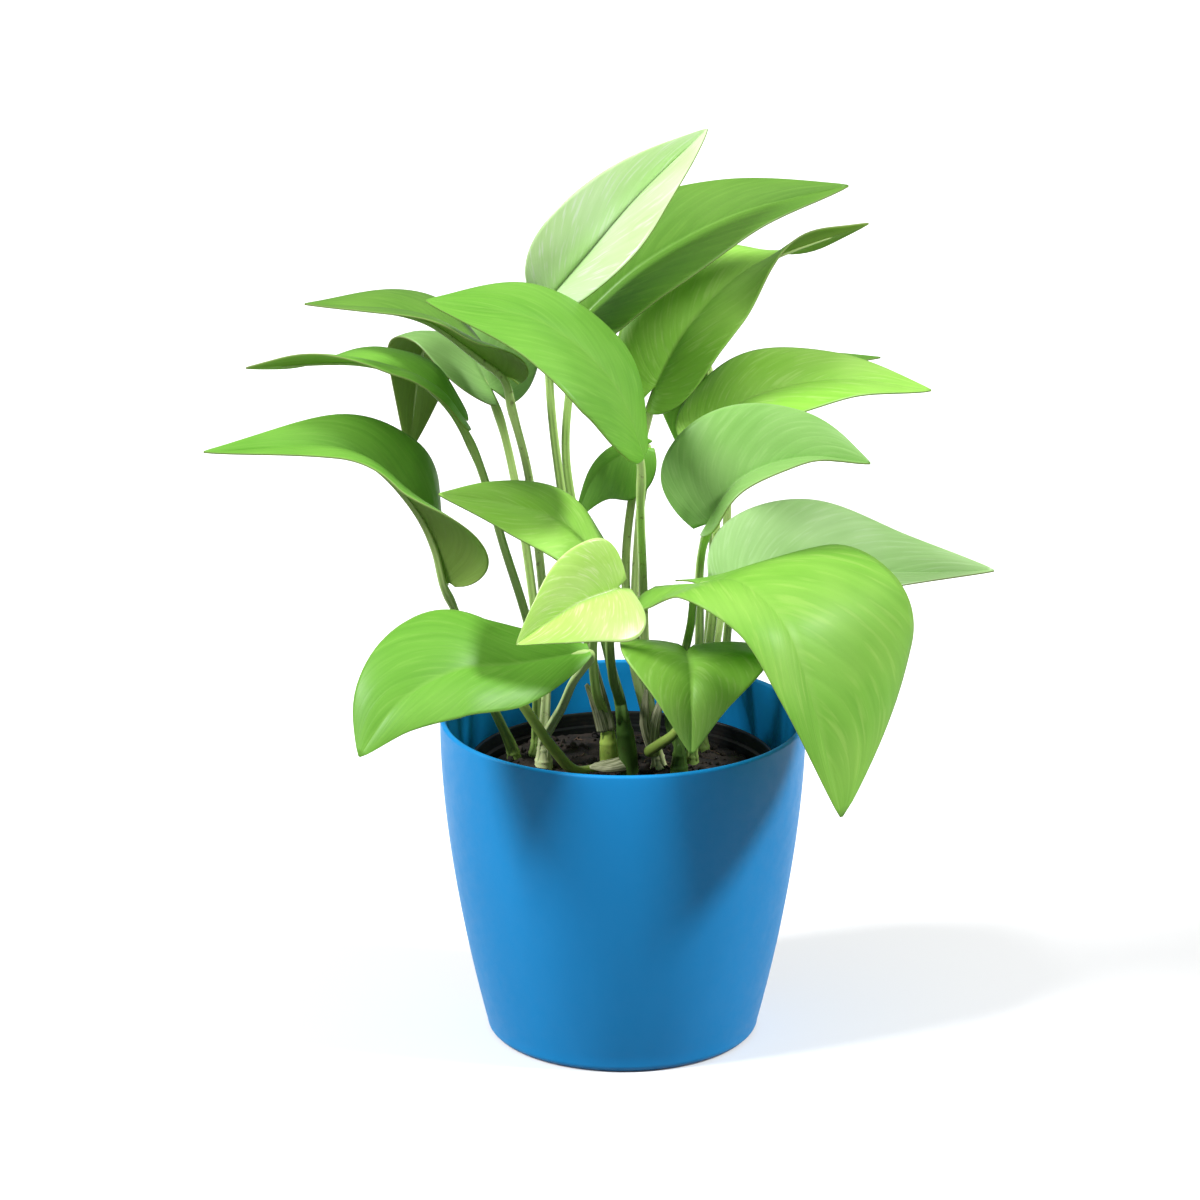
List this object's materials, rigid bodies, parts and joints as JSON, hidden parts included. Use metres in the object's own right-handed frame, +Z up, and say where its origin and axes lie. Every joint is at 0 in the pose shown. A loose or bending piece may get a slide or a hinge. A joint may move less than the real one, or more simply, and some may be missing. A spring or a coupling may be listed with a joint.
{
  "type": "potted golden pothos",
  "caption": "Young golden pothos with glossy heart-shaped leaves on arching stalks, rooted in a black nursery pot that stands in a round blue plastic cover pot.",
  "frame": {"origin": "centre of the cover pot's flat foot, on the surface it stands on", "axes": "+Z up along the pot's axis; -Y is the front, the side the picture was taken from; +X is to the right in the picture, the way the low pale leaf points"},
  "size_m": [0.2341, 0.1621, 0.2724],
  "materials": {
    "cover_pot": "smooth injection-moulded blue plastic with a soft satin sheen",
    "nursery_pot": "black moulded nursery pot plastic, slightly shiny",
    "potting_soil": "moist dark peat with brown fibres",
    "leaf": "waxy golden green leaves with paler stalks"
  },
  "bodies": {
    "root": {"cover_pot": "cover_pot", "nursery_pot": "nursery_pot", "potting_soil": "potting_soil", "leafy_stem_far_left": "leaf", "leafy_stem_left_back": "leaf", "leafy_stem_left_front": "leaf", "leafy_stem_centre": "leaf", "leafy_stem_front": "leaf", "leafy_stem_middle": "leaf", "leafy_stem_right_front": "leaf", "leafy_stem_right": "leaf", "leafy_stem_right_back": "leaf"}
  },
  "joints": []
}
